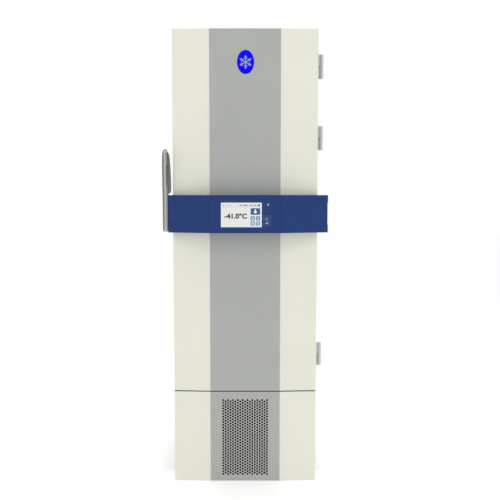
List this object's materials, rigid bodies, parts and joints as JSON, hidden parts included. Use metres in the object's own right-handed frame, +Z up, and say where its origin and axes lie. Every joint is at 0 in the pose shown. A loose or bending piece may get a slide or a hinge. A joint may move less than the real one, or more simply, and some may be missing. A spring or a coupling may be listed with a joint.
{
  "type": "ultra-low-temperature freezer",
  "caption": "Upright ultra-low-temperature laboratory freezer with a lever-latched insulated door, touch display band, inner doors, shelves and castors.",
  "frame": {"origin": "centre of the footprint on the floor", "axes": "+X to the right of someone facing the door, +Y to the back, +Z up"},
  "size_m": [0.7185, 0.84, 1.99],
  "materials": {
    "cream_paint": "semi-gloss powder coat",
    "grey_paint": "semi-gloss powder coat",
    "band_blue": "semi-gloss moulding",
    "handle_satin": "satin silver",
    "handle_grey": "fine texture",
    "hinge_steel": "satin",
    "stainless": "brushed",
    "zinc_steel": "zinc plated",
    "fin_aluminium": "mill finish",
    "copper_tube": "drawn copper",
    "white_plastic": "smooth",
    "sleeve_plastic": "smooth",
    "black_plastic": "fine texture",
    "black_paint": "gloss black",
    "black_rubber": "matte",
    "wheel_rubber": "matte",
    "gasket_rubber": "soft matte",
    "foam": "rigid foam",
    "filter_foam": "open-cell mat",
    "board_green": "solder mask",
    "display_face": "lit display",
    "cover_glass": "polished",
    "emblem_blue": "printed foil"
  },
  "bodies": {
    "cabinet": {"side_panel_left": "cream_paint", "side_panel_right": "cream_paint", "top_panel": "cream_paint", "rear_panel": "zinc_steel", "machine_deck": "zinc_steel", "breaker_frame": "white_plastic", "inner_liner": "stainless", "evaporator_coil": "copper_tube", "cabinet_insulation": "foam", "access_port": "sleeve_plastic", "wall_bumpers": "black_rubber", "shelves": "stainless", "shelf_rails": "stainless", "cabinet_hinge_leaves": "hinge_steel", "latch_striker": "stainless", "base_chassis": "zinc_steel", "compressor_high_stage": "black_paint", "compressor_low_stage": "black_paint", "compressor_mounts": "black_rubber", "condenser_coil": "fin_aluminium", "fan_shroud": "black_plastic", "fan_motor": "black_paint", "control_box": "zinc_steel", "refrigerant_lines": "copper_tube", "rear_cover": "cream_paint", "power_inlet": "black_plastic", "castor_mounts": "zinc_steel"},
    "door": {"door_skin": "cream_paint", "door_centre_panel": "grey_paint", "door_inner_panel": "white_plastic", "door_insulation": "foam", "door_gasket": "gasket_rubber", "door_hinge_leaves": "hinge_steel", "emblem": "emblem_blue", "band_cover": "band_blue", "display_glass": "cover_glass", "lcd_module": "display_face", "control_board": "board_green", "band_bracket": "zinc_steel", "lever_bearings": "black_plastic"},
    "lever": {"lever_handle": "handle_satin", "lever_grip_pad": "handle_grey", "latch_shaft": "stainless"},
    "inner_door_low": {"inner_door_lower": "white_plastic", "inner_seal_lower": "gasket_rubber"},
    "inner_door_high": {"inner_door_upper": "white_plastic", "inner_seal_upper": "gasket_rubber"},
    "lower_cover": {"base_cover": "cream_paint", "grille_panel": "grey_paint", "air_filter": "filter_foam"},
    "fan": {"fan_blades": "black_plastic"},
    "rocker": {"power_switch": "black_plastic"},
    "foot_left": {"jacking_foot_left": "zinc_steel"},
    "foot_right": {"jacking_foot_right": "zinc_steel"},
    "castor_left": {"front_castor_fork_left": "zinc_steel"},
    "castor_right": {"front_castor_fork_right": "zinc_steel"},
    "front_wheel_left": {"front_castor_wheel_left": "wheel_rubber"},
    "front_wheel_right": {"front_castor_wheel_right": "wheel_rubber"},
    "rear_wheel_left": {"rear_castor_wheel_left": "wheel_rubber"},
    "rear_wheel_right": {"rear_castor_wheel_right": "wheel_rubber"}
  },
  "joints": [
    {"name": "door_swing", "type": "hinge", "parent": "cabinet", "child": "door", "pos_m": [0.3373, -0.231, 1.2], "axis": [0, 0, 1], "range_deg": [0, 115]},
    {"name": "lever_pull", "type": "hinge", "parent": "door", "child": "lever", "pos_m": [-0.34, -0.34, 1.16], "axis": [1, 0, 0], "range_deg": [0, 50]},
    {"name": "inner_door_low_swing", "type": "hinge", "parent": "cabinet", "child": "inner_door_low", "pos_m": [0.238, -0.194, 0.84], "axis": [0, 0, 1], "range_deg": [0, 92]},
    {"name": "inner_door_high_swing", "type": "hinge", "parent": "cabinet", "child": "inner_door_high", "pos_m": [0.238, -0.194, 1.55], "axis": [0, 0, 1], "range_deg": [0, 92]},
    {"name": "lower_cover_pull", "type": "slide", "parent": "cabinet", "child": "lower_cover", "axis": [0, -1, 0], "range_m": [0, 0.05]},
    {"name": "fan_spin", "type": "hinge", "parent": "cabinet", "child": "fan", "pos_m": [0, -0.115, 0.242], "axis": [0, 1, 0], "continuous": true},
    {"name": "power_rocker", "type": "hinge", "parent": "cabinet", "child": "rocker", "pos_m": [0.25, 0.399, 0.165], "axis": [1, 0, 0], "range_deg": [-20, 0]},
    {"name": "foot_screw_left", "type": "slide", "parent": "cabinet", "child": "foot_left", "axis": [0, 0, 1], "range_m": [0, 0.012]},
    {"name": "castor_swivel_left", "type": "hinge", "parent": "cabinet", "child": "castor_left", "pos_m": [-0.225, -0.128, 0.084], "axis": [0, 0, 1], "continuous": true},
    {"name": "front_wheel_spin_left", "type": "hinge", "parent": "castor_left", "child": "front_wheel_left", "pos_m": [-0.225, -0.104, 0.039], "axis": [1, 0, 0], "continuous": true},
    {"name": "rear_wheel_spin_left", "type": "hinge", "parent": "cabinet", "child": "rear_wheel_left", "pos_m": [-0.245, 0.344, 0.0375], "axis": [1, 0, 0], "continuous": true},
    {"name": "foot_screw_right", "type": "slide", "parent": "cabinet", "child": "foot_right", "axis": [0, 0, 1], "range_m": [0, 0.012]},
    {"name": "castor_swivel_right", "type": "hinge", "parent": "cabinet", "child": "castor_right", "pos_m": [0.225, -0.128, 0.084], "axis": [0, 0, 1], "continuous": true},
    {"name": "front_wheel_spin_right", "type": "hinge", "parent": "castor_right", "child": "front_wheel_right", "pos_m": [0.225, -0.104, 0.039], "axis": [1, 0, 0], "continuous": true},
    {"name": "rear_wheel_spin_right", "type": "hinge", "parent": "cabinet", "child": "rear_wheel_right", "pos_m": [0.245, 0.344, 0.0375], "axis": [1, 0, 0], "continuous": true}
  ],
  "couplings": [
    {"joint": "inner_door_low_swing", "follows": "door_swing", "ratio": 0.8},
    {"joint": "inner_door_high_swing", "follows": "door_swing", "ratio": 0.8}
  ]
}
